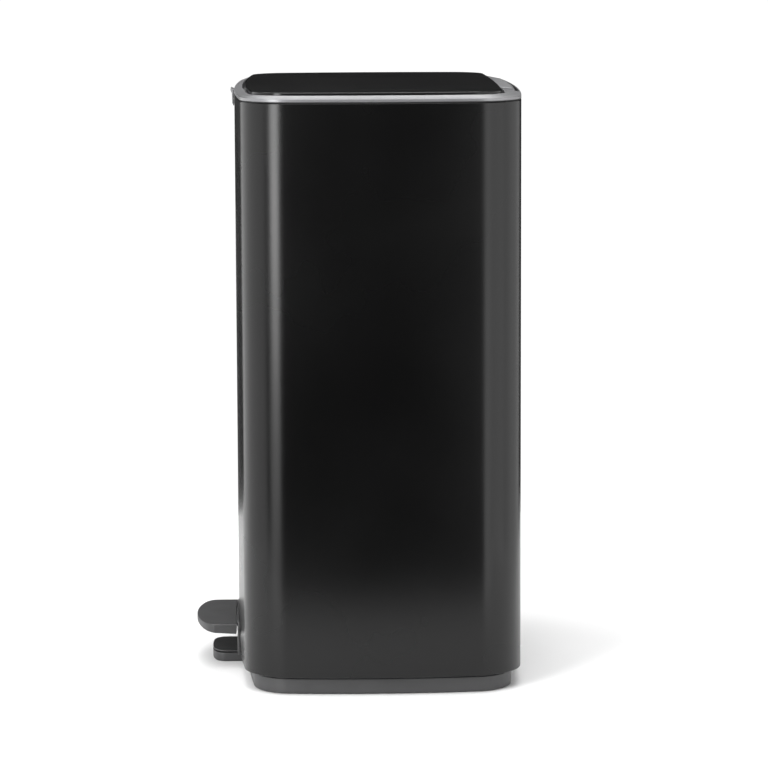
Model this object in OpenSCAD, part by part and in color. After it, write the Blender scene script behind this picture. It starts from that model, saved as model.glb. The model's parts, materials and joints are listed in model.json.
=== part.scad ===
// Flat pedal waste bin: lacquered steel body on a plastic base, with a flush
// lid that a foot pedal opens through a lever under the bucket and a push rod
// up the back wall.
// Front (pedal side) faces -Y, the width runs along X, and +Z is up.
// The origin is on the floor, under the middle of the body.

/* [Body] */
// Width of the body at its corners
body_w = 420; // [380:5:460]
// Depth of the body at its corners
body_d = 306; // [290:2:330]
// Height of the top of the lid above the floor
total_h = 677.5; // [640:0.5:720]
// Radius of the body's vertical corners
corner_r = 45; // [40:1:50]
// How far the two side walls bow outwards at their middle
side_bow = 9; // [6:0.5:10]
// How far the front and back walls bow outwards at their middle
front_bow = 11; // [10:0.5:12]
// Thickness of the steel sheet
sheet_t = 0.6; // [0.5:0.1:1]

/* [Base] */
// Height of the plastic skirt that shows below the steel body
skirt_h = 21; // [18:1:24]
// How far the skirt stands back from the steel body
skirt_inset = 10; // [8:1:12]

/* [Lid] */
// Distance from the body's edge to the lid panel at the front and sides
lid_inset = 12.5; // [12:0.5:14]
// Distance from the body's edge to the lid panel at the back
lid_back = 18.5; // [18:0.5:19]
// How far the back edge of the lid panel bows outwards at its middle
lid_back_bow = 4; // [3:0.5:5]
// Gap between the lid panel and the rim around it
lid_gap = 3; // [3:0.5:3.5]
// Angle that the lid opens to, in degrees
lid_open = 80; // [70:1:80]

/* [Pedal] */
// Width of the pedal pad
pad_w = 140; // [110:5:140]
// How far the pad stands out in front of the body
pad_reach = 49.5; // [40:0.5:50]
// Height of the top of the pad above the floor
pad_top = 52; // [50:1:54]

/* [Hidden] */
$fn = 48;

// Colours
lacquer = [0.05, 0.05, 0.055];
gunmetal = [0.42, 0.42, 0.43];
plastic = [0.24, 0.24, 0.25];
black_plastic = [0.1, 0.1, 0.1];
bucket_grey = [0.3, 0.3, 0.31];
rubber = [0.12, 0.12, 0.12];
steel = [0.7, 0.7, 0.72];

// Heights
body_top = total_h - 11;
gasket_t = 1.3;
rim_edge_z = total_h - 6.5;
rim_inner_z = total_h - 2.8;
lid_under = total_h - 3;
cover_z = 64;
cover_t = 2.5;

// Depth positions at the middle of the body
front_y = -body_d / 2 - front_bow;
back_y = body_d / 2 + front_bow;

// Lid hinge
hinge_y = body_d / 2 - 4;
hinge_z = total_h - 11.5;
pin_r = 2.5;
bush_r = 4;
arm_w = 190;
knuckle_r = 6;
horn_len = 12;
horn_angle = lid_open / 2;
horn_y = hinge_y - horn_len * cos(horn_angle);
horn_z = hinge_z - horn_len * sin(horn_angle);

// Pedal pivot and push rod
pivot_y = 12;
pivot_z = 38;
axle_r = 3;
fit = 0.05;
rod_y = horn_y - 0.8;
rod_r = 3;
lever_top = 46;
rod_gap = 0.5;

// Bucket
bucket_t = 2;
bucket_top = body_top - 19;
bucket_front = front_y + 14;
bucket_back = rod_y - 8.5;
bucket_z = cover_z + cover_t;

// ---- outlines -------------------------------------------------------------

// Points of a rounded rectangle whose four sides bow outwards, anticlockwise
// from the right side. w and d are measured at the corners.
function bowed(w, d, r, y0 = 0, back_bow = front_bow) = [
    for (p = rounded(w / 2, d / 2, r))
        [p[0] * (1 + 2 * side_bow / w * (1 - pow(2 * p[1] / d, 2))),
         p[1] * (1 + 2 * (p[1] > 0 ? back_bow : front_bow) / d
                 * (1 - pow(2 * p[0] / w, 2))) + y0]
];
corner_steps = 7;
side_steps = 6;
function rounded(hx, hy, r) = concat(
    side_points([hx, r - hy], [hx, hy - r]),
    arc_points([hx - r, hy - r], r, 0),
    side_points([hx - r, hy], [r - hx, hy]),
    arc_points([r - hx, hy - r], r, 90),
    side_points([-hx, hy - r], [-hx, r - hy]),
    arc_points([r - hx, r - hy], r, 180),
    side_points([r - hx, -hy], [hx - r, -hy]),
    arc_points([hx - r, r - hy], r, 270)
);
function side_points(a, b) =
    [for (i = [0:side_steps - 1]) a + (b - a) * i / side_steps];
function arc_points(c, r, start) =
    [for (i = [0:corner_steps - 1])
        c + r * [cos(start + 90 * i / corner_steps),
                 sin(start + 90 * i / corner_steps)]];

// Body outline moved inwards by i
function body_line(i) =
    bowed(body_w - 2 * i, body_d - 2 * i, max(corner_r - i, 6));
// Outline of the lid, grown outwards by g: the back stands further in
function lid_line(g) = bowed(
    body_w - 2 * (lid_inset - g),
    body_d - lid_inset - lid_back + 2 * g,
    corner_r - lid_inset + g,
    (lid_inset - lid_back) / 2,
    lid_back_bow
);
// Outline of the bucket, moved inwards by i
function bucket_line(i) = bowed(
    body_w - 2 * (14 + i),
    bucket_back - bucket_front - 2 * front_bow - 2 * i,
    corner_r - 14 - i,
    (bucket_back + bucket_front) / 2
);

module slab(line, z0, z1) {
    translate([0, 0, z0])
        linear_extrude(z1 - z0)
            polygon(line);
}
module band(outer, inner, z0, z1) {
    translate([0, 0, z0])
        linear_extrude(z1 - z0)
            difference() {
                polygon(outer);
                polygon(inner);
            }
}
// Closed ring through a list of outlines, each at its own height
module ring_skin(lines, heights) {
    n = len(lines[0]);
    m = len(lines);
    polyhedron(
        points = [for (j = [0:m - 1]) for (p = lines[j])
            [p[0], p[1], heights[j]]],
        faces = [for (j = [0:m - 1]) for (i = [0:n - 1])
            [((j + 1) % m) * n + i, ((j + 1) % m) * n + (i + 1) % n,
             j * n + (i + 1) % n, j * n + i]]
    );
}
module box(x0, x1, y0, y1, z0, z1) {
    translate([x0, y0, z0]) cube([x1 - x0, y1 - y0, z1 - z0]);
}
// Cylinder along X between two places
module x_rod(x0, x1, y, z, r) {
    translate([x0, y, z]) rotate([0, 90, 0]) cylinder(r = r, h = x1 - x0);
}
// Profile in the Y-Z plane, extruded along X and centred on x
module x_prism(x, width, points) {
    translate([x - width / 2, 0, 0])
        rotate([90, 0, 90])
            linear_extrude(width)
                polygon(points);
}
module screw(x, y, z, length, r = 1.6) {
    translate([x, y, z - length]) cylinder(r = r, h = length);
    translate([x, y, z]) cylinder(r = 2 * r, h = 1.6);
}
module mirror_x() {
    children();
    mirror([1, 0, 0]) children();
}

// ---- body -----------------------------------------------------------------

slot_half = 50;
flange = 4;
module body_shell() {
    color(lacquer)
        difference() {
            union() {
                band(body_line(0), body_line(sheet_t), skirt_h, body_top);
                band(body_line(0.3), body_line(flange), skirt_h,
                     skirt_h + sheet_t);
                difference() {
                    band(body_line(0.3), body_line(flange),
                         body_top - sheet_t, body_top);
                    difference() {
                        box(-pin_out - 1, pin_out + 1, hinge_y, back_y,
                            body_top - 1, body_top + 1);
                        band(body_line(-5), body_line(sheet_t),
                             body_top - 2, body_top + 2);
                    }
                }
            }
            box(-slot_half - 6, slot_half + 6, front_y - 5, front_y + 14,
                skirt_h - 1, 50);
        }
}

module body_gasket() {
    color(rubber)
        difference() {
            band(body_line(1), body_line(3.4), body_top, body_top + gasket_t);
            arm_opening();
        }
}
// Room behind the lid in which the hinge arm swings
module arm_opening() {
    intersection() {
        box(-arm_w / 2 - 1.5, arm_w / 2 + 1.5, hinge_y - 25, back_y,
            rim_lip - 1, total_h);
        slab(body_line(2), rim_lip - 1, total_h);
    }
}

// ---- base -----------------------------------------------------------------

skirt_t = 3;
floor_z = 0;
floor_t = 4;
ledge_t = 2.5;
wall_top = cover_z;
groove_z = skirt_h - 3.5;
post_x = 150;
post_y = [-95, 95];
module base_tray() {
    skirt = body_line(skirt_inset);
    ledge_z = skirt_h + 1;
    color(plastic)
        difference() {
            union() {
                slab(body_line(skirt_inset + 1.5), floor_z, floor_z + 1.5);
                slab(skirt, floor_z + 1.5, floor_z + floor_t);
                band(skirt, body_line(skirt_inset + skirt_t),
                     floor_z + floor_t, groove_z);
                band(body_line(skirt_inset + 1.5),
                     body_line(skirt_inset + skirt_t), groove_z, ledge_z);
                band(body_line(1.4), body_line(skirt_inset + skirt_t),
                     ledge_z, ledge_z + ledge_t);
                band(body_line(1.4), body_line(1.4 + skirt_t),
                     ledge_z + ledge_t, wall_top);
                for (x = [-post_x, post_x], y = post_y)
                    translate([x, y, floor_z + floor_t])
                        cylinder(r = 7, h = cover_z - floor_z - floor_t);
            }
            for (x = [-post_x, post_x], y = post_y) {
                translate([x, y, cover_z - 14]) cylinder(r = 1.6, h = 15);
                foot_place(x, y) translate([0, 0, -1])
                    cylinder(r = 12.1, h = 2.8);
            }
            box(-slot_half - 4, slot_half + 4, front_y - 5, front_y + 16,
                17, 50);
        }
}

module foot_place(x, y) {
    translate([x * 1.1, y * 1.12, 0]) children();
}
module rubber_feet() {
    color(rubber)
        for (x = [-post_x, post_x], y = post_y)
            foot_place(x, y) cylinder(r = 12, h = 1.8);
}

module base_cover() {
    color(black_plastic)
        difference() {
            slab(body_line(1.6), cover_z, cover_z + cover_t);
            for (x = [-post_x, post_x], y = post_y)
                translate([x, y, cover_z - 1]) cylinder(r = 1.6, h = 5);
            box(-42, 42, rod_y - 7, rod_y + 7, cover_z - 1, cover_z + 4);
            for (x = [-post_x, post_x], y = post_y)
                translate([x, y, cover_z + 0.8]) cylinder(r = 3.3, h = 3);
        }
}
module cover_screws() {
    color(steel)
        for (x = [-post_x, post_x], y = post_y)
            screw(x, y, cover_z + 0.8, 12);
}

// Front foot: keeps the bin from tipping and stops the pedal
foot_half = 37;
foot_reach = 31;
foot_back = front_y + skirt_inset - 0.2;
foot_neck_z = 10.5;
module foot_plan(half, reach, back) {
    tip_r = 17;
    translate([0, back, 0])
        polygon(concat(
            [[half, 0], [half, -(reach - tip_r)]],
            [for (a = [15:15:165])
                [half * pow(abs(cos(a)), 0.6) * sign(cos(a)),
                 -(reach - tip_r) - tip_r * pow(sin(a), 0.8)]],
            [[-half, -(reach - tip_r)], [-half, 0]]
        ));
}
module front_foot() {
    color(plastic)
        linear_extrude(foot_neck_z)
            foot_plan(foot_half, foot_reach + skirt_inset, foot_back);
}
module front_foot_cap() {
    color(plastic) {
        translate([0, 0, foot_neck_z])
            linear_extrude(1.7)
                foot_plan(foot_half - 4, foot_reach + skirt_inset - 4,
                          foot_back);
        translate([0, 0, foot_neck_z + 1.7])
            linear_extrude(1.6)
                foot_plan(foot_half, foot_reach + skirt_inset, foot_back);
    }
}

bezel_half = 72;
module slot_bezel() {
    color(plastic)
        intersection() {
            band(body_line(-2.6), body_line(-0.05), 14.2, 54);
            rotate([90, 0, 0])
                linear_extrude(body_d)
                    difference() {
                        rounded_bar(bezel_half, 14.2, 54, 9);
                        rounded_bar(slot_half, 17.2, 50, 5);
                    }
        }
}
module rounded_bar(half, z0, z1, r) {
    translate([-half, z0 + r]) square([2 * half, z1 - z0 - 2 * r]);
    translate([r - half, z0]) square([2 * (half - r), z1 - z0]);
    for (x = [r - half, half - r], z = [z0 + r, z1 - r])
        translate([x, z]) circle(r = r);
}

// ---- rim ------------------------------------------------------------------

function mix(a, b, t) =
    [for (i = [0:len(a) - 1]) a[i] * (1 - t) + b[i] * t];
rim_lip = body_top - 8.5;
module top_rim() {
    outer = body_line(0);
    opening = lid_line(lid_gap);
    color(gunmetal)
        difference() {
            union() {
                rim_ledge();
                ring_skin(
                [outer, outer, mix(outer, opening, 0.07), opening, opening,
                 mix(outer, opening, 0.8), mix(outer, opening, 0.8),
                 mix(outer, opening, 0.26)],
                [body_top + gasket_t, rim_edge_z - 0.8, rim_edge_z,
                 rim_inner_z, rim_lip, rim_lip, body_top + 5,
                 body_top + gasket_t]
                );
            }
            arm_opening();
            for (s = [-1, 1])
                x_rod(s > 0 ? arm_w / 2 : -pin_out - 1,
                      s > 0 ? pin_out + 1 : -arm_w / 2,
                      hinge_y, hinge_z, knuckle_r + 0.1);
        }
}
// Narrow shelf inside the rim that the lid's bumpers rest on
ledge_top = rim_inner_z - 7.5;
module rim_ledge() {
    band(lid_line(lid_gap + 0.4), lid_line(-7.5), ledge_top - 2, ledge_top);
}

module front_tab() {
    color(gunmetal)
        x_prism(0, 36, [
            [front_y - 0.1, rim_edge_z - 0.6],
            [front_y - 4, rim_edge_z + 1],
            [front_y - 4.4, rim_edge_z - 1],
            [front_y - 2.8, rim_edge_z - 4],
            [front_y - 2.4, rim_edge_z - 16],
            [front_y - 0.3, rim_edge_z - 20],
            [front_y - 0.3, body_top + 1.1],
            [front_y - 0.1, body_top + 1.2]
        ]);
}

// ---- lid hinge ------------------------------------------------------------

pin_in = arm_w / 2 - 10;
pin_out = arm_w / 2 + 14;
module hinge_pins() {
    color(steel)
        mirror_x() x_rod(pin_in, pin_out, hinge_y, hinge_z, pin_r);
}
module hinge_blocks() {
    color(black_plastic)
        mirror_x()
            difference() {
                union() {
                    x_rod(arm_w / 2 + 2, pin_out, hinge_y, hinge_z, knuckle_r);
                    intersection() {
                        box(arm_w / 2 + 2, pin_out, hinge_y, back_y,
                            hinge_z - 12, body_top + 1);
                        slab(body_line(sheet_t), 0, total_h);
                    }
                }
                x_rod(arm_w / 2 + 1, pin_out + 1, hinge_y, hinge_z, pin_r);
                band(body_line(0), body_line(4), body_top - 0.1, total_h);
            }
}
module hinge_bushes() {
    color(black_plastic)
        mirror_x()
            difference() {
                x_rod(arm_w / 2 - 10, arm_w / 2, hinge_y, hinge_z, bush_r);
                x_rod(arm_w / 2 - 11, arm_w / 2 + 1, hinge_y, hinge_z,
                      pin_r + fit);
            }
}

// ---- pedal pivot in the base ----------------------------------------------

bracket_x = 27;
bracket_t = 6;
module pivot_brackets() {
    color(steel)
        mirror_x()
            difference() {
                union() {
                    x_prism(bracket_x, bracket_t, [
                        [pivot_y - 16, floor_z + floor_t],
                        [pivot_y + 16, floor_z + floor_t],
                        [pivot_y + 8, pivot_z + 4],
                        [pivot_y + 4, pivot_z + 8],
                        [pivot_y - 4, pivot_z + 8],
                        [pivot_y - 8, pivot_z + 4]
                    ]);
                    box(bracket_x, bracket_x + 18, pivot_y - 16, pivot_y + 16,
                        floor_z + floor_t, floor_z + floor_t + 3);
                }
                x_rod(bracket_x - 5, bracket_x + 5, pivot_y, pivot_z, axle_r);
                for (y = [-9, 9])
                    translate([bracket_x + 11, pivot_y + y, 0])
                        cylinder(r = 1.6, h = 20);
            }
}
module bracket_screws() {
    color(steel)
        mirror_x()
            for (y = [-9, 9])
                translate([bracket_x + 11, pivot_y + y, floor_z + floor_t]) {
                    cylinder(r = 1.6, h = 3);
                    translate([0, 0, 3]) cylinder(r = 3.2, h = 1.8);
                }
}
module pedal_axle() {
    color(steel)
        x_rod(-bracket_x - 5, bracket_x + 5, pivot_y, pivot_z, axle_r);
}

// ---- push rod guides and damper -------------------------------------------

guide_z = [190, 520];
module rod_guides() {
    color(black_plastic)
        for (z = guide_z)
            difference() {
                intersection() {
                    box(-11, 11, rod_y - 6, back_y, z, z + 16);
                    slab(body_line(sheet_t), z - 1, z + 17);
                }
                translate([0, rod_y, z - 1])
                    cylinder(r = rod_r + fit, h = 18);
            }
}

damper_x = 30;
damper_r = 7;
damper_z = [100, 150];
module damper_cylinder() {
    color(black_plastic)
        translate([damper_x, rod_y + 3, damper_z[0]])
            difference() {
                cylinder(r = damper_r, h = damper_z[1] - damper_z[0]);
                translate([0, 0, 4])
                    cylinder(r = 2.1, h = damper_z[1] - damper_z[0]);
            }
}
module damper_bracket() {
    color(steel)
        difference() {
            intersection() {
                box(damper_x - 11, damper_x + 11, rod_y - 6, back_y,
                    damper_z[0] + 12, damper_z[0] + 32);
                slab(body_line(sheet_t), 0, 400);
            }
            translate([damper_x, rod_y + 3, 0])
                cylinder(r = damper_r, h = 400);
        }
}

// ---- bucket ---------------------------------------------------------------

grip_half = 45;
module inner_bucket() {
    color(bucket_grey)
        difference() {
            union() {
                slab(bucket_line(0), bucket_z, bucket_z + bucket_t);
                band(bucket_line(0), bucket_line(bucket_t),
                     bucket_z + bucket_t, bucket_top);
                band(bucket_line(-2.5), bucket_line(0.5),
                     bucket_top - 2.5, bucket_top);
            }
            for (s = [-1, 1])
                translate([s * (body_w / 2 - 10), 0, bucket_top - 32])
                    rotate([90, 0, 90])
                        translate([0, 0, -20])
                            linear_extrude(40)
                                rounded_bar(grip_half, -10, 10, 9.5);
        }
}

// ---- lid ------------------------------------------------------------------

lid_edge = 0.9;
module lid_panel() {
    color(lacquer) {
        band(lid_line(0), lid_line(-lid_edge), lid_under, total_h - lid_edge);
        slab(lid_line(-0.3), total_h - lid_edge, total_h);
    }
}
frame_under = total_h - 8;
join_y = body_d / 2 - lid_back + lid_back_bow;
arm_root = join_y - 12;
module lid_frame() {
    color(gunmetal)
        difference() {
            union() {
                band(lid_line(-1.5), lid_line(-14), frame_under,
                     lid_under - 1.2);
                slab(lid_line(-1.5), lid_under - 1.2, total_h - lid_edge);
            }
            box(-arm_w / 2 - 0.1, arm_w / 2 + 0.1, arm_root - 0.1, back_y,
                frame_under - 1, lid_under - 1.2);
        }
}
liner_under = total_h - 11;
module lid_liner() {
    color(black_plastic)
        difference() {
            slab(lid_line(-15), liner_under, lid_under - 1.2);
            slab(lid_line(-18), liner_under - 1, lid_under - 3.2);
        }
}
// Half width of the lid panel at depth y
function lid_edge_x(y) = body_w / 2 - lid_inset + side_bow
    * (1 - pow((2 * y - lid_inset + lid_back)
               / (body_d - lid_inset - lid_back), 2));
module lid_bumpers() {
    color(rubber)
        for (s = [-1, 1], y = [-100, 85])
            translate([s * (lid_edge_x(y) - 4.2), y, ledge_top + 0.1])
                cylinder(r = 2.5, h = frame_under - ledge_top - 0.1);
}
arm_rear = back_y - 6.5;
module hinge_arm() {
    color(gunmetal)
        union() {
            intersection() {
                x_prism(0, arm_w, [
                    [arm_root, lid_under - 3.8],
                    [hinge_y - 4, lid_under - 3.8],
                    [hinge_y + 4, hinge_z + 6],
                    [arm_rear, hinge_z + 4.5],
                    [arm_rear, hinge_z + 6.3],
                    [hinge_y + 8.2, hinge_z + 7.8],
                    [hinge_y + 4, hinge_z + 9.5],
                    [hinge_y - 2, total_h - 1.4],
                    [arm_root, total_h - 1.1]
                ]);
                difference() {
                    slab(body_line(7), hinge_z - 20, total_h + 5);
                    slab(lid_line(0.3), lid_under - 1.25, total_h + 5);
                }
            }
            mirror_x()
                difference() {
                    union() {
                        x_rod(arm_w / 2 - 10, arm_w / 2, hinge_y, hinge_z,
                              knuckle_r);
                        box(arm_w / 2 - 10, arm_w / 2, hinge_y - 5,
                            hinge_y + 3.5, hinge_z, hinge_z + 7);
                    }
                    x_rod(arm_w / 2 - 11, arm_w / 2 + 1, hinge_y, hinge_z,
                          bush_r);
                }
        }
}
horn_gap = 6.5;
horn_t = 2.5;
module lid_horn() {
    color(steel)
        mirror_x()
            difference() {
                x_prism(horn_gap + horn_t / 2, horn_t, [
                    [hinge_y - 6, lid_under - 3.9],
                    [horn_y - 4, horn_z + 4],
                    [horn_y - 4, horn_z - 3],
                    [horn_y - 1, horn_z - 5],
                    [horn_y + 3, horn_z - 4],
                    [hinge_y + 3, hinge_z + 2],
                    [hinge_y + 3, lid_under - 3.9]
                ]);
                x_rod(0, 20, horn_y, horn_z, 2.5);
            }
}
module horn_pin() {
    color(steel)
        x_rod(-horn_gap - horn_t, horn_gap + horn_t, horn_y, horn_z, 2.5);
}

// ---- pedal ----------------------------------------------------------------

pad_root = front_y + 4;
pad_t = 12;
pad_nose = 22;
module pad_plan(inset) {
    tip = front_y - pad_reach + inset;
    half = pad_w / 2 - inset;
    nose = pad_nose - inset;
    polygon(concat(
        [[half, pad_root]],
        [for (a = [0:9:180]) [half * cos(a), tip + nose - nose * sin(a)]],
        [[-half, pad_root]]
    ));
}
arm_half = 44;
arm_t = 3;
arm_z = pad_top - 8;
arm_front = front_y - pad_reach + 14;
module pedal_pad() {
    color(plastic)
        difference() {
            union() {
                translate([0, 0, pad_top - pad_t])
                    linear_extrude(pad_t - 1.2) pad_plan(0);
                translate([0, 0, pad_top - 1.2])
                    linear_extrude(1.2) pad_plan(1.2);
            }
            slab(body_line(-4.1), 0, pad_top + 1);
            box(-arm_half, arm_half, arm_front, 0, arm_z, arm_z + arm_t);
            for (x = [-28, 28])
                translate([x, front_y - 16, pad_top - pad_t - 1])
                    cylinder(r = 1.6, h = 9);
        }
}
module pad_screws() {
    color(steel)
        for (x = [-28, 28])
            translate([x, front_y - 16, pad_top - pad_t]) {
                cylinder(r = 1.6, h = arm_z - pad_top + pad_t);
                translate([0, 0, -1.4]) cylinder(r = 3, h = 1.4);
            }
}
arm_back = -95;
module pedal_arm() {
    color(steel)
        box(-arm_half, arm_half, arm_front, arm_back, arm_z, arm_z + arm_t);
}
lever_half = 18;
lever_t = 2;
lever_back = rod_y + 9;
module pedal_lever() {
    color(steel)
        difference() {
            x_prism(0, 2 * lever_half, [
                [arm_back - 30, arm_z],
                [arm_back + 0.5, arm_z],
                [arm_back + 0.5, lever_top],
                [lever_back, lever_top],
                [lever_back, lever_top - 10],
                [pivot_y + 30, pivot_z - 9],
                [pivot_y - 30, pivot_z - 9],
                [arm_back - 30, arm_z - 8]
            ]);
            box(lever_t - lever_half, lever_half - lever_t,
                arm_back - 31, lever_back + 1, 0, lever_top - lever_t - 2);
            x_rod(-30, 30, pivot_y, pivot_z, 6);
        }
}
module pedal_hub() {
    color(black_plastic)
        difference() {
            x_rod(-lever_half - 3, lever_half + 3, pivot_y, pivot_z, 6);
            x_rod(-40, 40, pivot_y, pivot_z, axle_r + fit);
        }
}

// ---- push rod -------------------------------------------------------------

foot_h = 10;
head_z0 = horn_z - 7;
head_z1 = horn_z + 6;
module push_rod() {
    color(steel)
        translate([0, rod_y, lever_top + rod_gap + foot_h])
            cylinder(r = rod_r, h = head_z0 - lever_top - rod_gap - foot_h);
}
module rod_foot() {
    color(black_plastic)
        translate([0, rod_y, lever_top + rod_gap])
            intersection() {
                cylinder(r = 6, h = foot_h);
                translate([0, 0, 9]) sphere(r = 9);
            }
}
module rod_head() {
    pin_play = 0.4;
    swing = horn_len * (1 - cos(horn_angle));
    color(black_plastic)
        difference() {
            box(-5.5, 5.5, rod_y - 6.5, rod_y + 7, head_z0, head_z1);
            box(-6, 6, horn_y - swing - 2.5 - pin_play,
                horn_y + 2.5 + pin_play,
                horn_z - 2.5 - pin_play, horn_z + 2.5 + pin_play);
        }
}
module damper_arm() {
    z = damper_z[1] + 12;
    color(steel)
        difference() {
            union() {
                translate([0, rod_y, z]) cylinder(r = 6, h = 6);
                box(3, damper_x, rod_y - 1, rod_y + 5, z + 1, z + 5);
                translate([damper_x, rod_y + 3, z]) cylinder(r = 5, h = 6);
            }
            translate([0, rod_y, z - 1]) cylinder(r = rod_r, h = 8);
            translate([damper_x, rod_y + 3, z - 1]) cylinder(r = 2, h = 8);
        }
}
module damper_piston() {
    z = damper_z[0] + 10;
    color(steel)
        translate([damper_x, rod_y + 3, z])
            cylinder(r = 2, h = damper_z[1] + 20 - z);
}

// ---- assembly -------------------------------------------------------------

body_shell();
body_gasket();
base_tray();
base_cover();
cover_screws();
rubber_feet();
front_foot();
front_foot_cap();
slot_bezel();
top_rim();
front_tab();
hinge_pins();
hinge_blocks();
pivot_brackets();
bracket_screws();
pedal_axle();
rod_guides();
damper_cylinder();
damper_bracket();
inner_bucket();
lid_panel();
lid_frame();
lid_liner();
lid_bumpers();
hinge_arm();
hinge_bushes();
lid_horn();
horn_pin();
pedal_pad();
pad_screws();
pedal_arm();
pedal_lever();
pedal_hub();
push_rod();
rod_head();
rod_foot();
damper_arm();
damper_piston();
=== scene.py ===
import json
import math

import bmesh
import bpy
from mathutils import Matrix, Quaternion, Vector


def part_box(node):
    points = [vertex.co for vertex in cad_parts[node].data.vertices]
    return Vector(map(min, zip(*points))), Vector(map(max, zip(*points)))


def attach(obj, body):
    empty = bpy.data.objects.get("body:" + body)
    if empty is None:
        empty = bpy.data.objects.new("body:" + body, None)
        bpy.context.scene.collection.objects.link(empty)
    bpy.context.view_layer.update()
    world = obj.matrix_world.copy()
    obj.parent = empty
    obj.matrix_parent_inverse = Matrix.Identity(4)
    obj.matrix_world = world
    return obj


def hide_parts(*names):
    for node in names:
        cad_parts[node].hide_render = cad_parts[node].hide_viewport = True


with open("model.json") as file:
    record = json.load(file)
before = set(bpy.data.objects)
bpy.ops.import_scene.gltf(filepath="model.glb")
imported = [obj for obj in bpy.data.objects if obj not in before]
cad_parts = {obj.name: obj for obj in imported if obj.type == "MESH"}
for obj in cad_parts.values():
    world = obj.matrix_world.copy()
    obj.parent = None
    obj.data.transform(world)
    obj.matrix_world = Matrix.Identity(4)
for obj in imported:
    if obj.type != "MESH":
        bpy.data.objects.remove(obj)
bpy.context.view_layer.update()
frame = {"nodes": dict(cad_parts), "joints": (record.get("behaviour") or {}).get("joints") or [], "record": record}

MM = 0.001

# ---- driving sizes, in millimetres -----------------------------------------

def box_mm(node):
    """The two corners of a CAD node's box."""
    return [[c / MM for c in corner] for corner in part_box(node)]


# The body's walls, with how far each side bows out between the corners.
SHELL_LOW, SHELL_HIGH = box_mm("body_shell")
SIDE_BOW = 9.0
FRONT_BOW = 11.0
CORNER_R = 45.0
SMALLEST_R = 6.0
BODY_W = SHELL_HIGH[0] - SHELL_LOW[0] - 2 * SIDE_BOW
BODY_D = SHELL_HIGH[1] - SHELL_LOW[1] - 2 * FRONT_BOW
BODY_BOTTOM = SHELL_LOW[2]
BODY_TOP = SHELL_HIGH[2]
FRONT_Y = SHELL_LOW[1]
BACK_Y = SHELL_HIGH[1]
SHEET_T = 0.6

# The lid, which is straighter at the back than the body.
PANEL_LOW, PANEL_HIGH = box_mm("lid_panel")
LID_TOP = PANEL_HIGH[2]
LID_UNDER = PANEL_LOW[2]
LID_INSET = (BODY_W + 2 * SIDE_BOW - PANEL_HIGH[0] + PANEL_LOW[0]) / 2
LID_BACK_BOW = 4.0
LID_BACK = BACK_Y - PANEL_HIGH[1] - FRONT_BOW + LID_BACK_BOW
LID_GAP = 3.0

# The rim's outer band, above the body's top edge.
RIM_LIFT = 1.3
RIM_EDGE = 4.5

# Half the hinge cover's width, with its clearance in the rim, and the hinge's axis.
ARM_HALF = box_mm("hinge_arm")[1][0]
ARM_CLEAR = 1.5
HINGE = [c / MM for c in next(j for j in frame["joints"] if j["name"] == "lid_hinge")["pos_m"]]

# Points along each side and round each corner of an outline, and the share of
# an edge that one rounded corner may take.
SIDE_STEPS = 24
CORNER_STEPS = 20
LONGEST_CUT = 0.49


# ---- outlines ---------------------------------------------------------------

def rounded(half_x, half_y, r):
    """Corner arcs and side points of a rounded rectangle, anticlockwise."""
    points = []
    centres = [(half_x - r, half_y - r), (r - half_x, half_y - r),
               (r - half_x, r - half_y), (half_x - r, r - half_y)]
    for quarter, (cx, cy) in enumerate(centres):
        before = centres[quarter - 1]
        start = math.radians(90 * quarter)
        ax = before[0] + r * math.cos(start)
        ay = before[1] + r * math.sin(start)
        bx = cx + r * math.cos(start)
        by = cy + r * math.sin(start)
        for i in range(SIDE_STEPS):
            t = i / SIDE_STEPS
            points.append((ax + (bx - ax) * t, ay + (by - ay) * t))
        for i in range(CORNER_STEPS):
            a = start + math.pi / 2 * i / CORNER_STEPS
            points.append((cx + r * math.cos(a), cy + r * math.sin(a)))
    return points


def bowed(w, d, r, y0=0.0, back_bow=FRONT_BOW):
    """The rounded rectangle with its four sides bowed outwards."""
    hx, hy = w / 2, d / 2
    return [
        (x * (1 + SIDE_BOW / hx * (1 - (y / hy) ** 2)),
         y * (1 + (back_bow if y > 0 else FRONT_BOW) / hy * (1 - (x / hx) ** 2)) + y0)
        for x, y in rounded(hx, hy, r)
    ]


def body_line(inset):
    """Outline of the body, moved in by inset."""
    return bowed(BODY_W - 2 * inset, BODY_D - 2 * inset, max(CORNER_R - inset, SMALLEST_R))


def lid_line(grow):
    """Outline of the lid, moved out by grow."""
    return bowed(
        BODY_W - 2 * (LID_INSET - grow),
        BODY_D - LID_INSET - LID_BACK + 2 * grow,
        CORNER_R - LID_INSET + grow,
        (LID_INSET - LID_BACK) / 2,
        LID_BACK_BOW,
    )


def inside_lid(inset):
    """Outline of the lid, moved in by inset."""
    return lid_line(-inset)


def mix(a, b, t):
    """The outline a share t of the way from a to b."""
    return [(p[0] + (q[0] - p[0]) * t, p[1] + (q[1] - p[1]) * t) for p, q in zip(a, b)]


def front_face_y(x, out=0.0):
    """Depth of the body's bowed front face at x, moved out by out."""
    return -(BODY_D / 2 + FRONT_BOW * (1 - (2 * x / BODY_W) ** 2)) - out


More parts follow.
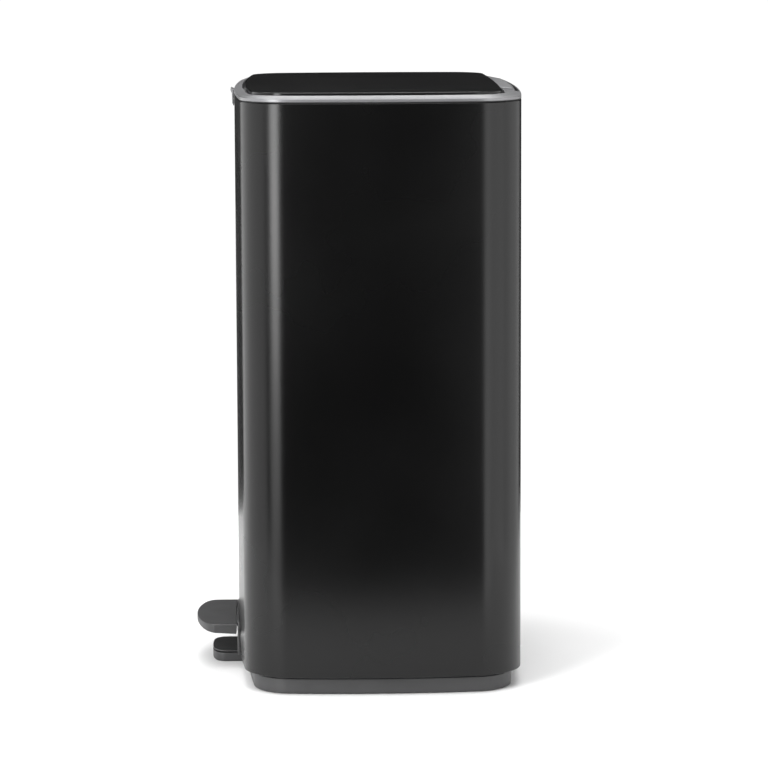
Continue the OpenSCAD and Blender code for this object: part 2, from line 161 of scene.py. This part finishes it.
def fillet(points, radii, steps=5, closed=True):
    """A profile with its corners rounded, each by its own radius."""
    n = len(points)
    result = []
    for i, p in enumerate(points):
        r = radii[i] if isinstance(radii, (list, tuple)) else radii
        if r <= 0 or (not closed and i in (0, n - 1)):
            result.append(tuple(p))
            continue
        here = Vector(p)
        to_last = Vector(points[i - 1]) - here
        to_next = Vector(points[(i + 1) % n]) - here
        longest = min(to_last.length, to_next.length) * LONGEST_CUT
        half = to_last.angle(to_next) / 2
        back = min(r / math.tan(half), longest)
        a = here + to_last.normalized() * back
        b = here + to_next.normalized() * back
        for k in range(steps + 1):
            t = k / steps
            q = a * (1 - t) ** 2 + here * 2 * t * (1 - t) + b * t ** 2
            result.append((q.x, q.y))
    return result


# ---- mesh building ----------------------------------------------------------

def finish_mesh(name, bm, sharp=40):
    """Turns a bmesh in millimetres into a smooth-shaded piece in metres."""
    bmesh.ops.recalc_face_normals(bm, faces=bm.faces)
    for v in bm.verts:
        v.co *= MM
    mesh = bpy.data.meshes.new(name)
    bm.to_mesh(mesh)
    bm.free()
    mesh.polygons.foreach_set("use_smooth", [True] * len(mesh.polygons))
    mesh.set_sharp_from_angle(angle=math.radians(sharp))
    piece = bpy.data.objects.new(name, mesh)
    bpy.context.scene.collection.objects.link(piece)
    return piece


def loft(name, loops, sharp=40, closed=False):
    """Skins loops of points in turn, capped at both ends or closed on the first."""
    bm = bmesh.new()
    rings = [[bm.verts.new(point) for point in loop] for loop in loops]
    chain = rings + rings[:1] if closed else rings
    for a, b in zip(chain, chain[1:]):
        for k in range(len(a)):
            n = (k + 1) % len(a)
            bm.faces.new((a[k], a[n], b[n], b[k]))
    if not closed:
        bm.faces.new(rings[0])
        bm.faces.new(rings[-1])
    return finish_mesh(name, bm, sharp)


def at_height(line, z):
    """A flat loop of points: the outline at height z."""
    return [(x, y, z) for x, y in line]


def solid(name, line_at, profile, sharp=40, closed=False):
    """A loft of outlines, whose profile gives (inset, height) pairs."""
    return loft(name, [at_height(line_at(u), z) for u, z in profile], sharp, closed)


def cut(piece, cutter):
    """Takes cutter out of piece and removes the cutter."""
    modifier = piece.modifiers.new("cut", "BOOLEAN")
    modifier.operation = "DIFFERENCE"
    modifier.solver = "EXACT"
    modifier.object = cutter
    apply_modifiers(piece)
    mesh = cutter.data
    bpy.data.objects.remove(cutter)
    bpy.data.meshes.remove(mesh)


def apply_modifiers(piece):
    """Turns a piece's modifiers into its mesh."""
    graph = bpy.context.evaluated_depsgraph_get()
    mesh = bpy.data.meshes.new_from_object(piece.evaluated_get(graph))
    old = piece.data
    piece.modifiers.clear()
    piece.data = mesh
    mesh.name = piece.name
    if old.users == 0:
        bpy.data.meshes.remove(old)


def bevel(piece, width, segments):
    """Rounds the sharp edges of a piece."""
    modifier = piece.modifiers.new("bevel", "BEVEL")
    modifier.width = width * MM
    modifier.segments = segments
    modifier.limit_method = "ANGLE"
    modifier.angle_limit = math.radians(35)
    modifier.harden_normals = True
    apply_modifiers(piece)


def resharpen(piece, sharp):
    """Marks the sharp edges again, after a cut."""
    piece.data.set_sharp_from_angle(angle=math.radians(sharp))


def prism_box(name, low, high):
    """A plain block, for cutting with."""
    bm = bmesh.new()
    bmesh.ops.create_cube(bm, size=1.0)
    for v in bm.verts:
        for axis in range(3):
            v.co[axis] = low[axis] if v.co[axis] < 0 else high[axis]
    return finish_mesh(name, bm)


# ---- materials --------------------------------------------------------------

class Nodes:
    """Small helper around one material's node tree."""

    def __init__(self, name):
        self.material = bpy.data.materials.new(name)
        self.material.use_nodes = True
        self.tree = self.material.node_tree
        self.shader = self.tree.nodes["Principled BSDF"]
        self.coords = self.tree.nodes.new("ShaderNodeTexCoord")

    def add(self, kind, **values):
        """Adds a node and sets its inputs, such as From_Min=0.3."""
        node = self.tree.nodes.new(kind)
        for key, value in values.items():
            node.inputs[key.replace("_", " ")].default_value = value
        return node

    def link(self, a, b):
        self.tree.links.new(a, b)

    def set(self, **values):
        for key, value in values.items():
            self.shader.inputs[key.replace("_", " ")].default_value = value

    def noise(self, scale, detail=3.0, stretch=(1, 1, 1)):
        mapping = self.add("ShaderNodeMapping", Scale=stretch)
        node = self.add("ShaderNodeTexNoise", Scale=scale, Detail=detail)
        self.link(self.coords.outputs["Object"], mapping.inputs["Vector"])
        self.link(mapping.outputs["Vector"], node.inputs["Vector"])
        return node.outputs["Fac"]

    def cells(self, scale):
        node = self.add("ShaderNodeTexVoronoi", Scale=scale)
        self.link(self.coords.outputs["Object"], node.inputs["Vector"])
        return node.outputs["Distance"]

    def colour(self, source, dark, light, low=0.3, high=0.7):
        ramp = self.add("ShaderNodeValToRGB")
        ramp.color_ramp.elements[0].position = low
        ramp.color_ramp.elements[1].position = high
        ramp.color_ramp.elements[0].color = (*dark, 1)
        ramp.color_ramp.elements[1].color = (*light, 1)
        self.link(source, ramp.inputs["Fac"])
        self.link(ramp.outputs["Color"], self.shader.inputs["Base Color"])

    def roughness(self, source, low, high):
        span = self.add("ShaderNodeMapRange", From_Min=0.3, From_Max=0.7, To_Min=low, To_Max=high)
        self.link(source, span.inputs["Value"])
        self.link(span.outputs["Result"], self.shader.inputs["Roughness"])

    def bump(self, source, strength, depth_mm):
        node = self.add("ShaderNodeBump", Strength=strength, Distance=depth_mm * MM)
        self.link(source, node.inputs["Height"])
        self.link(node.outputs["Normal"], self.shader.inputs["Normal"])


def grey(v):
    """A grey of level v, very slightly cool."""
    return (v, v, v * 1.03)


def black_lacquer():
    """Satin black lacquer over steel sheet, with a faint orange peel."""
    n = Nodes("black_lacquer")
    n.colour(n.noise(9), grey(0.0012), grey(0.0020))
    n.roughness(n.noise(5), 0.24, 0.29)
    n.bump(n.noise(900, 1.0), 0.10, 0.02)
    n.set(Specular_IOR_Level=0.36)
    return n.material


def lid_lacquer():
    """Matte black powder coat."""
    n = Nodes("lid_lacquer")
    n.colour(n.noise(12), grey(0.0065), grey(0.0080))
    n.roughness(n.noise(8), 0.18, 0.21)
    n.bump(n.noise(1400, 2.0), 0.02, 0.02)
    n.set(Specular_IOR_Level=0.3)
    return n.material


def gunmetal_plastic():
    """Satin grey plastic with a fine metallic fleck."""
    n = Nodes("gunmetal_plastic")
    n.colour(n.noise(2600, 1.0), grey(0.20), grey(0.27), 0.35, 0.65)
    n.roughness(n.noise(14), 0.36, 0.44)
    n.bump(n.noise(1800, 1.0), 0.12, 0.02)
    n.set(Metallic=0.55)
    return n.material


def dark_plastic():
    """Dark grey moulded plastic with a spark-eroded grain."""
    n = Nodes("dark_plastic")
    n.colour(n.noise(30), grey(0.032), grey(0.040))
    n.roughness(n.noise(18), 0.42, 0.52)
    n.bump(n.cells(1500), 0.28, 0.05)
    return n.material


def black_plastic():
    """Black moulded plastic, lightly textured."""
    n = Nodes("black_plastic")
    n.colour(n.noise(35), grey(0.016), grey(0.022))
    n.roughness(n.noise(16), 0.42, 0.55)
    n.bump(n.cells(1200), 0.2, 0.04)
    return n.material


def bucket_plastic():
    """Smooth dark polypropylene with faint flow marks."""
    n = Nodes("bucket_plastic")
    n.colour(n.noise(6, 4.0, (1, 1, 0.15)), grey(0.060), grey(0.075))
    n.roughness(n.noise(10), 0.38, 0.48)
    n.bump(n.noise(500, 2.0), 0.1, 0.03)
    return n.material


def rubber():
    """Matte black rubber."""
    n = Nodes("rubber")
    n.colour(n.noise(40), grey(0.010), grey(0.016))
    n.roughness(n.noise(30), 0.72, 0.85)
    n.bump(n.noise(700, 3.0), 0.3, 0.05)
    return n.material


def zinc_steel():
    """Zinc-plated steel with a rolled grain."""
    n = Nodes("zinc_steel")
    n.colour(n.noise(60, 4.0, (1, 1, 8)), (0.50, 0.51, 0.53), (0.62, 0.63, 0.65))
    n.roughness(n.noise(80, 3.0, (1, 1, 10)), 0.28, 0.42)
    n.bump(n.noise(400, 2.0, (1, 1, 12)), 0.12, 0.02)
    n.set(Metallic=1.0)
    return n.material


# Each material slot of the record, and which slot each CAD node has.
MATERIALS = {
    "black_lacquer": black_lacquer(),
    "lid_lacquer": lid_lacquer(),
    "gunmetal_plastic": gunmetal_plastic(),
    "dark_plastic": dark_plastic(),
    "black_plastic": black_plastic(),
    "bucket_plastic": bucket_plastic(),
    "rubber": rubber(),
    "zinc_steel": zinc_steel(),
}
SLOT_OF = {s["node"]: s["material_slot"] for s in frame["record"]["subparts"]}


def ride_as(piece, body, node):
    """Gives a piece the material of a CAD node and rides it on the body."""
    slot_name = SLOT_OF[node]
    piece.data.materials.clear()
    piece.data.materials.append(MATERIALS[slot_name])
    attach(piece, body)


def place(piece, body, node):
    """Rides a piece on the body in the place of a CAD node."""
    ride_as(piece, body, node)
    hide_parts(node)


def paint_cad_nodes():
    """Materials for the CAD nodes that keep their own shape."""
    for node, piece in frame["nodes"].items():
        material = MATERIALS[SLOT_OF[node]]
        for material_slot in piece.material_slots:
            material_slot.material = material


# ---- body -------------------------------------------------------------------

def make_shell():
    """Steel body: one rolled sheet with a turned-in edge at both ends."""
    z0, z1 = BODY_BOTTOM, BODY_TOP
    t, turn = SHEET_T, 4.0
    roll, inner_roll, tip = 1.5, 1.0, 0.25
    profile = fillet(
        [(0, z0), (0, z1), (turn, z1), (turn, z1 - t), (t, z1 - t), (t, z0 + t),
         (turn, z0 + t), (turn, z0)],
        [roll, roll, tip, tip, inner_roll, inner_roll, tip, tip])
    shell = solid("steel_body", body_line, profile, 60, closed=True)
    pedal_half, pedal_deep, pedal_top = 56.0, 14.0, 50.0
    cut(shell, prism_box("notch", (-pedal_half, FRONT_Y - 5, z0 - 1),
                         (pedal_half, FRONT_Y + pedal_deep, pedal_top)))
    hinge_half = ARM_HALF + 15
    cut(shell, back_notch("flange_notch", hinge_half, t + 0.1, z1 - 2, z1 + 2))
    resharpen(shell, 60)
    place(shell, "bin", "body_shell")


def back_notch(name, half, inset, z0, z1):
    """A block behind the lid whose rear follows the body's bowed back wall."""
    count, front = 24, HINGE[1] - 25
    xs = [half - 2 * half * i / count for i in range(count + 1)]
    line = [(x, -front_face_y(x, -inset)) for x in xs] + [(-half, front), (half, front)]
    return loft(name, [at_height(line, z) for z in (z0, z1)])


def make_gasket():
    """Dark strip between the body's top edge and the rim, open behind the lid."""
    low, high = (corner[2] for corner in box_mm("body_gasket"))
    outer, inner = 1.0, 3.2
    profile = fillet([(outer, low), (outer, high), (inner, high), (inner, low)], 0.3, 2)
    gasket = solid("rim_gasket", body_line, profile, closed=True)
    cut(gasket, back_notch("gasket_notch", ARM_HALF + ARM_CLEAR, 2.0, low - 1, high + 1))
    place(gasket, "bin", "body_gasket")


def make_rim():
    """Moulded rim: narrow side band, sloping top, deep inner wall."""
    low, high = (corner[2] for corner in box_mm("top_rim"))
    outer, opening = body_line(0.0), lid_line(LID_GAP)
    width = LID_INSET - LID_GAP
    band_z, edge_z = BODY_TOP + RIM_LIFT, BODY_TOP + RIM_EDGE
    band_t, wall_t, slope_t = 2.6, 2.2, 3.2
    shelf, shelf_t, reach = high - 7.5, 2.0, width + 10.5
    corners = [(0, band_z), (0, edge_z), (width, high), (width, shelf), (reach, shelf),
               (reach, shelf - shelf_t), (width, shelf - shelf_t), (width, low),
               (width - wall_t, low), (width - wall_t, high - slope_t),
               (band_t, edge_z - slope_t / 2), (band_t, band_z)]
    profile = fillet(
        corners, [0.35, 0.6, 0.6, 0.4, 0.5, 0.5, 0.4, 0.8, 0.8, 0.5, 0.3, 0.3], 5)

    def line(u):
        if u > width:
            return lid_line(LID_GAP + width - u)
        return mix(outer, opening, u / width)

    rim = solid("lid_rim", line, profile, 50, closed=True)
    cut(rim, back_notch("pocket", ARM_HALF + ARM_CLEAR, 2.0, low - 1, high + 5))
    resharpen(rim, 40)
    place(rim, "bin", "top_rim")


def make_tab():
    """Plain tab on the front of the rim, thinner towards its foot."""
    (_, _, z_low), (half, y_in, z_top) = box_mm("front_tab")
    face_y = FRONT_Y - 4.0
    foot_y = FRONT_Y - 0.3
    outline = fillet(
        [(y_in, z_top - 1.6), (face_y, z_top), (face_y - 0.4, z_top - 2.0),
         (face_y + 1.2, z_top - 5.0), (face_y + 1.6, z_top - 17.0), (foot_y, z_low),
         (foot_y, BODY_TOP + 1.1), (y_in, BODY_TOP + 1.2)],
        [0.1, 0.5, 0.8, 1.5, 1.5, 0.4, 0.1, 0.1], 4)
    middle_y = sum(y for y, z in outline) / len(outline)
    middle_z = (z_top + z_low) / 2
    end_r = 1.2
    stations = [(-half, 1.0), (-half + end_r * 0.3, 0.4), (-half + end_r, 0)]
    stations += [(-x, shrink) for x, shrink in reversed(stations)]
    loops = []
    for x, shrink in stations:
        loops.append([(x, y - math.copysign(shrink / 2, y - middle_y),
                       z - math.copysign(shrink, z - middle_z)) for y, z in outline])
    place(loft("rim_tab", loops, 30), "bin", "front_tab")


# ---- base -------------------------------------------------------------------

def make_base():
    """Plastic base: floor, skirt with a rounded foot, ledge and inner wall."""
    low, high = (corner[2] for corner in box_mm("base_tray"))
    skirt, wall, floor_t = 10.0, 3.0, 4.0
    lip, ledge, ledge_t = 1.4, BODY_BOTTOM + 1.0, 2.5
    groove_z, groove_deep = BODY_BOTTOM - 3.5, 1.8
    corners = [(skirt, low), (skirt, groove_z), (skirt + groove_deep, groove_z + 0.3),
               (skirt + groove_deep, ledge), (lip, ledge), (lip, high), (lip + wall, high),
               (lip + wall, ledge + ledge_t), (skirt + wall, ledge + ledge_t),
               (skirt + wall, low + floor_t)]
    profile = fillet(corners, [2.8, 0.7, 0.2, 0.2, 0.4, 0.5, 0.5, 0.5, 0.8, 0.0], 6)
    base = solid("base", body_line, profile, 50)
    slot_half, slot_z = 54.0, (17.0, 50.0)
    cut(base, prism_box("slot", (-slot_half, FRONT_Y - 5, slot_z[0]),
                        (slot_half, FRONT_Y + 16, slot_z[1])))
    resharpen(base, 45)
    place(base, "bin", "base_tray")


def tongue(half, reach, back, tip_r):
    """Plan of the foot: straight sides and a blunt rounded nose."""
    steps = 40
    line = [(half, back)]
    for i in range(steps + 1):
        a = math.pi * i / steps
        c, s = math.cos(a), math.sin(a)
        x = half * math.copysign(abs(c) ** 0.6, c) if abs(c) > 1e-9 else 0.0
        line.append((x, back - (reach - tip_r) - tip_r * s ** 0.8))
    line.append((-half, back))
    return line


def make_foot():
    """Front foot and its thin cap, which stands on a narrower neck."""
    (_, front, z0), (half, back, z1) = box_mm("front_foot")
    cap_low, cap_high = (corner[2] for corner in box_mm("front_foot_cap"))
    tip_r, top_inset = 17.0, 5.0

    def line(inset):
        return tongue(half - inset, back - front - inset, back, tip_r)

    foot = fillet([(top_inset, z0), (0, z0), (0, z1), (top_inset, z1)], [0, 2.2, 0.6, 0], 6, False)
    place(solid("foot", line, foot, 50), "bin", "front_foot")
    neck, neck_z = 4.0, cap_low + 1.7
    cap = [(neck, cap_low)] + fillet(
        [(neck, neck_z), (0, neck_z), (0, cap_high), (top_inset, cap_high)],
        [0, 0.3, 0.8, 0], 5, False)
    place(solid("foot_cap", line, cap, 50), "bin", "front_foot_cap")


def rounded_window(half, z0, z1, r):
    """Loop of (x, z) round a window, with the same count of points for any size."""
    steps, across = 8, 16
    corners = [(half - r, z1 - r, 0), (r - half, z1 - r, 90),
               (r - half, z0 + r, 180), (half - r, z0 + r, 270)]

    def on_corner(index, turned):
        cx, cz, start = corners[index % 4]
        a = math.radians(start + turned)
        return cx + r * math.cos(a), cz + r * math.sin(a)

    loop = []
    for index in range(4):
        loop += [on_corner(index, 90 * i / steps) for i in range(steps + 1)]
        begin, end = [loop[-1]], [on_corner(index + 1, 0)]
        for i in range(1, across):
            loop += mix(begin, end, i / across)
    return loop


def make_bezel():
    """Surround of the pedal slot, a plate bent to the body's front."""
    (_, _, z0), (half, _, z1) = box_mm("slot_bezel")
    thick = 2.5
    outer = rounded_window(half, z0, z1, 9.0)
    inner = rounded_window(50.0, z0 + 3, z1 - 4, 5.0)
    edges = [(outer, 0), (outer, thick), (inner, thick), (inner, 0)]
    loops = [[(x, front_face_y(x, out), z) for x, z in loop] for loop, out in edges]
    bezel = loft("pedal_slot_bezel", loops, closed=True)
    bevel(bezel, 0.7, 3)
    place(bezel, "bin", "slot_bezel")


# ---- bucket -----------------------------------------------------------------

def make_bucket():
    """Inner bucket with a turned lip and a grip hole at each end."""
    low, high = box_mm("inner_bucket")
    z0, z1 = low[2], high[2]
    lip, wall, corner_r = 2.5, 2.0, CORNER_R - 14
    width = high[0] - low[0] - 2 * lip - 2 * SIDE_BOW
    depth = high[1] - low[1] - 2 * lip - 2 * FRONT_BOW
    middle = (high[1] + low[1]) / 2

    def line(inset):
        return bowed(width - 2 * inset, depth - 2 * inset, corner_r - inset, middle)

    outside = [(6.0, z0), (0.0, z0), (0.0, z1 - lip), (-lip, z1 - lip), (-lip, z1)]
    inside = [(wall, z1), (wall, z0 + wall), (8.0, z0 + wall)]
    profile = fillet(outside + inside, [0, 5.0, 0.8, 0.6, 0.8, 0.8, 4.0, 0], 6, False)
    bucket = solid("bucket", line, profile, 50)
    for end_x in (-high[0], high[0]):
        cut(bucket, grip_cutter(end_x, z1 - 32))
    resharpen(bucket, 45)
    place(bucket, "bin", "inner_bucket")


def grip_cutter(x, z):
    """A stadium-shaped plug across the bucket's wall."""
    half_long, half_high, half_deep = 45.0, 10.0, 25.0
    loop = rounded_window(half_long, z - half_high, z + half_high, half_high - 0.5)
    return loft("grip_cutter", [[(end, y, h) for y, h in loop]
                                for end in (x - half_deep, x + half_deep)])


# ---- lid --------------------------------------------------------------------

def make_panel():
    """Pressed steel panel with a small rolled edge."""
    sheet = 0.9
    profile = fillet(
        [(6.0, LID_TOP - sheet), (sheet, LID_TOP - sheet), (sheet, LID_UNDER), (0.0, LID_UNDER),
         (0.0, LID_TOP), (12.0, LID_TOP)],
        [0, 0.5, 0.25, 0.3, 1.3, 0], 7, False)
    place(solid("lid_panel_steel", inside_lid, profile, 60), "lid", "lid_panel")


def make_lid_frame():
    """Moulded frame under the panel, with a seat for the hinge cover."""
    low, high = (corner[2] for corner in box_mm("lid_frame"))
    inset, width, under, top = 1.5, 12.5, LID_UNDER - 1.2, high - 0.05
    profile = fillet(
        [(12.0, top), (inset, top), (inset, low), (inset + width, low),
         (inset + width, under), (inset + width + 6, under)],
        [0, 0.6, 1.0, 1.0, 0.5, 0], 4, False)
    moulding = solid("lid_frame_moulding", inside_lid, profile, 50)
    seat_half, seat_deep = ARM_HALF + 0.1, 12.1
    cut(moulding, prism_box("arm_seat", (-seat_half, PANEL_HIGH[1] - seat_deep, low - 1),
                            (seat_half, BACK_Y, under)))
    resharpen(moulding, 45)
    place(moulding, "lid", "lid_frame")


def make_liner():
    """Inner liner panel of the lid, dished in the middle."""
    low, high = (corner[2] for corner in box_mm("lid_liner"))
    edge, rib, dish, deep = 15.0, 24.0, 30.0, 2.4
    profile = fillet(
        [(edge, high), (edge, low), (rib, low), (dish, low + deep)], [0, 1.2, 3.0, 0], 6, False)
    place(solid("lid_liner_panel", inside_lid, profile, 18), "lid", "lid_liner")


def make_arm():
    """Grey hinge cover behind the panel, curving down at the back."""
    _, (_, rear, top) = box_mm("hinge_arm")
    _, hy, hz = HINGE
    join_y = PANEL_HIGH[1]
    tuck, under, seat_z = 11.0, LID_UNDER - 3.8, LID_UNDER - 1.3
    outline = fillet(
        [(join_y - tuck, under), (hy - 4, under), (hy + 4, hz + 6), (rear, hz + 4.5),
         (rear, hz + 6.3), (hy + 8.2, hz + 7.8), (hy + 4, hz + 9.5), (hy - 2, top - 0.6),
         (join_y + 0.3, top), (join_y + 0.3, seat_z), (join_y - tuck, seat_z)],
        [0.5, 1, 1, 0.5, 0.8, 2, 4, 4, 0.3, 0.2, 0.3], 4)
    spans, edge = 24, 1.0
    xs = [-ARM_HALF, -ARM_HALF + edge * 0.3, -ARM_HALF + edge]
    xs += [(-1 + 2 * i / spans) * (ARM_HALF - edge) for i in range(1, spans)]
    xs += [ARM_HALF - edge, ARM_HALF - edge * 0.3, ARM_HALF]
    loops = []
    for x in xs:
        rear_y = min(rear, -front_face_y(x, -7.0))
        joint_y = join_y - LID_BACK_BOW * (2 * x / (BODY_W - 2 * LID_INSET)) ** 2
        from_end = min(ARM_HALF - abs(x), edge)
        drop = edge - math.sqrt(max(edge ** 2 - (edge - from_end) ** 2, 0))
        loop = []
        for y, z in outline:
            z_here = z - drop if z > hz + 6.1 and y > join_y - 2 else z
            if y > join_y:
                y = joint_y + (rear_y - joint_y) * (y - join_y) / (rear - join_y)
            loop.append((x, y, z_here))
        loops.append(loop)
    place(loft("hinge_cover", loops), "lid", "hinge_arm")
    for side, name in ((-1, "hinge_knuckle_left"), (1, "hinge_knuckle_right")):
        knuckle = make_knuckle(name, side * (ARM_HALF - 10), side * (ARM_HALF - 0.3))
        ride_as(knuckle, "lid", "hinge_arm")


def make_knuckle(name, x0, x1):
    """Bored knuckle blended up into the cover above it."""
    _, hy, hz = HINGE
    outer_r, bore_r, top, steps = 6.0, 4.0, 6.6, 48
    loops = []
    for x, r in ((x0, bore_r), (x0, outer_r), (x1, outer_r), (x1, bore_r)):
        loop = []
        for i in range(steps):
            a = 2 * math.pi * i / steps
            y, z = r * math.cos(a), r * math.sin(a)
            if r == outer_r and z > 0:
                y = max(-5.0, min(3.5, y))
                z = top if abs(math.cos(a)) < 0.8 else z
            loop.append((x, hy + y, hz + z))
        loops.append(loop)
    return loft(name, loops, 35, closed=True)


# ---- pedal ------------------------------------------------------------------

def pad_line(inset, gap, tip, half, nose):
    """Plan of the pad: a round nose, and a root that follows the bezel."""
    nose_steps, root_steps, bezel_out = 56, 12, 2.6
    line = []
    for i in range(nose_steps + 1):
        a = math.pi * i / nose_steps
        line.append(((half - inset) * math.cos(a),
                     tip + inset + (nose - inset) * (1 - math.sin(a))))
    for i in range(root_steps + 1):
        x = (inset - half) * (1 - 2 * i / root_steps)
        line.append((x, front_face_y(x, bezel_out + gap)))
    return line


def make_pad():
    """Foot pad: a thick tongue with softened edges and a dished underside."""
    (_, tip, z0), (half, root, z1) = box_mm("pedal_pad")
    nose, rise, dish = 22.0, 5.0, 2.0
    profile = fillet(
        [(9.0, z0 + dish), (3.0, z0 + dish), (3.0, z0), (0.0, z0), (0.0, z1), (10.0, z1)],
        [0, 1.0, 0.8, 1.6, 1.8, 0], 6, False)
    loops = []
    for u, z in profile:
        lowness = (z1 - z) / (z1 - z0)
        gap = 0.5 + 1.1 * lowness + min(u, 2.0) * 0.3
        loops.append([
            (x, y, z + rise * lowness * max((root - y) / (root - tip), 0) ** 2)
            for x, y in pad_line(u, gap, tip, half, nose)])
    place(loft("pedal_pad_moulding", loops, 50), "pedal", "pedal_pad")


# ---- build the pieces -------------------------------------------------------

paint_cad_nodes()
make_shell()
make_gasket()
make_rim()
make_tab()
make_base()
make_foot()
make_bezel()
make_bucket()
make_panel()
make_lid_frame()
make_liner()
make_arm()
make_pad()


# ---- floor, light and camera --------------------------------------------------

def make_floor():
    """White floor that ends short of what the body's sides would mirror."""
    bm = bmesh.new()
    left, right, half_wide = -900, 550, 650
    corners = [(left, -half_wide), (right, -half_wide), (right, half_wide), (left, half_wide)]
    bm.faces.new([bm.verts.new((x, y, 0)) for x, y in corners])
    floor = finish_mesh("floor", bm)
    n = Nodes("floor_white")
    n.colour(n.noise(2), (0.86, 0.86, 0.86), (0.88, 0.88, 0.88))
    n.set(Roughness=0.7, Specular_IOR_Level=0.1)
    floor.data.materials.append(n.material)


# Screens round the bin, in first and last azimuth from its right, and strength.
SCREEN_RADIUS = 2600.0
SIDE_HEIGHTS = (-600, 2400)
RIGHT_SCREENS = [(12, 26, 0.3), (26, 40, 2.75), (40, 75, 2.0), (75, 105, 1.5), (105, 135, 1.1)]
LEFT_SCREENS = [(-145, -115, 1.75), (-115, -60, 1.55)]


def glowing_wall(name, azimuths, heights, strength):
    """An upright curved screen round the bin that lights it, unseen by the camera."""
    bm = bmesh.new()
    steps = 48
    first, last = azimuths
    rows = []
    for z in heights:
        row = []
        for i in range(steps + 1):
            a = math.radians(first + (last - first) * i / steps)
            row.append(bm.verts.new((SCREEN_RADIUS * math.cos(a), SCREEN_RADIUS * math.sin(a), z)))
        rows.append(row)
    for i in range(steps):
        bm.faces.new((rows[0][i], rows[0][i + 1], rows[1][i + 1], rows[1][i]))
    wall = finish_mesh(name, bm)
    material = bpy.data.materials.new(name)
    material.use_nodes = True
    nodes = material.node_tree.nodes
    nodes.remove(nodes["Principled BSDF"])
    glow = nodes.new("ShaderNodeEmission")
    glow.inputs["Strength"].default_value = strength
    surface = nodes["Material Output"].inputs["Surface"]
    material.node_tree.links.new(glow.outputs["Emission"], surface)
    wall.data.materials.append(material)
    wall.visible_camera = False


def area_light(name, place_mm, target_mm, size_mm, watts):
    """A rectangular light at one place, turned to another."""
    data = bpy.data.lights.new(name, "AREA")
    data.shape = "RECTANGLE"
    data.size, data.size_y = size_mm[0] * MM, size_mm[1] * MM
    data.energy = watts
    light = bpy.data.objects.new(name, data)
    light.location = Vector(place_mm) * MM
    aim = (Vector(target_mm) - Vector(place_mm)).to_track_quat("-Z", "Y")
    light.rotation_euler = aim.to_euler()
    bpy.context.scene.collection.objects.link(light)


def make_lights():
    """Broad light from above, a strip at the front corner and screens at the sides."""
    sky = bpy.data.lights.new("sky", "SUN")
    sky.energy = 2.5
    sky.angle = math.radians(50)
    overhead = bpy.data.objects.new("sky", sky)
    bpy.context.scene.collection.objects.link(overhead)
    area_light("front_strip", (1930, -1430, 1180), (0, 0, 400), (900, 2260), 70)
    lid_middle = (0, 0, 660)
    area_light("rim_light", (-2600, 0, 3000), lid_middle, (1800, 700), 26)
    area_light("edge_light", (2100, 0, 3100), lid_middle, (1800, 600), 14)
    glowing_wall("strip_foot", (-50, -26.5), (-500, 50), 2.6)
    glowing_wall("back_screen", (-180, -172), (-600, 300), 1.2)
    for side, screens in (("right", RIGHT_SCREENS), ("left", LEFT_SCREENS)):
        for number, (first, last, strength) in enumerate(screens):
            glowing_wall("%s_screen_%d" % (side, number), (first, last), SIDE_HEIGHTS, strength)


def make_world():
    """White to the camera, dim grey to everything else, like a dark studio."""
    world = bpy.data.worlds.new("studio")
    world.use_nodes = True
    tree = world.node_tree
    background = tree.nodes["Background"]
    background.inputs["Color"].default_value = (0.008, 0.008, 0.008, 1)
    white = tree.nodes.new("ShaderNodeBackground")
    white.inputs["Color"].default_value = (1, 1, 1, 1)
    white.inputs["Strength"].default_value = 1.05
    seen = tree.nodes.new("ShaderNodeLightPath")
    blend = tree.nodes.new("ShaderNodeMixShader")
    tree.links.new(seen.outputs["Is Camera Ray"], blend.inputs["Fac"])
    tree.links.new(background.outputs["Background"], blend.inputs[1])
    tree.links.new(white.outputs["Background"], blend.inputs[2])
    tree.links.new(blend.outputs["Shader"], tree.nodes["World Output"].inputs["Surface"])
    bpy.context.scene.world = world


def make_camera():
    """Long lens from the bin's right side, turned a little towards the front."""
    focal_mm = 159.4
    distance, across, height = 3955.0, 8.7, 905.9
    turn = math.radians(2.034)
    pitch = math.radians(7.815)
    roll = math.radians(0.21)
    data = bpy.data.cameras.new("camera")
    data.lens = focal_mm
    data.sensor_width = 36.0
    data.shift_y = -0.0443
    data.clip_end = 100
    camera = bpy.data.objects.new("camera", data)
    camera.location = Vector((
        across * math.sin(turn) + distance * math.cos(turn),
        across * math.cos(turn) - distance * math.sin(turn),
        height)) * MM
    ahead = Vector((
        -math.cos(pitch) * math.cos(turn), math.cos(pitch) * math.sin(turn), -math.sin(pitch)))
    aim = Quaternion(ahead, roll) @ ahead.to_track_quat("-Z", "Y")
    camera.rotation_euler = aim.to_euler()
    bpy.context.scene.collection.objects.link(camera)
    bpy.context.scene.camera = camera


make_floor()
make_lights()
make_world()
make_camera()
bpy.context.scene.view_settings.view_transform = "Standard"
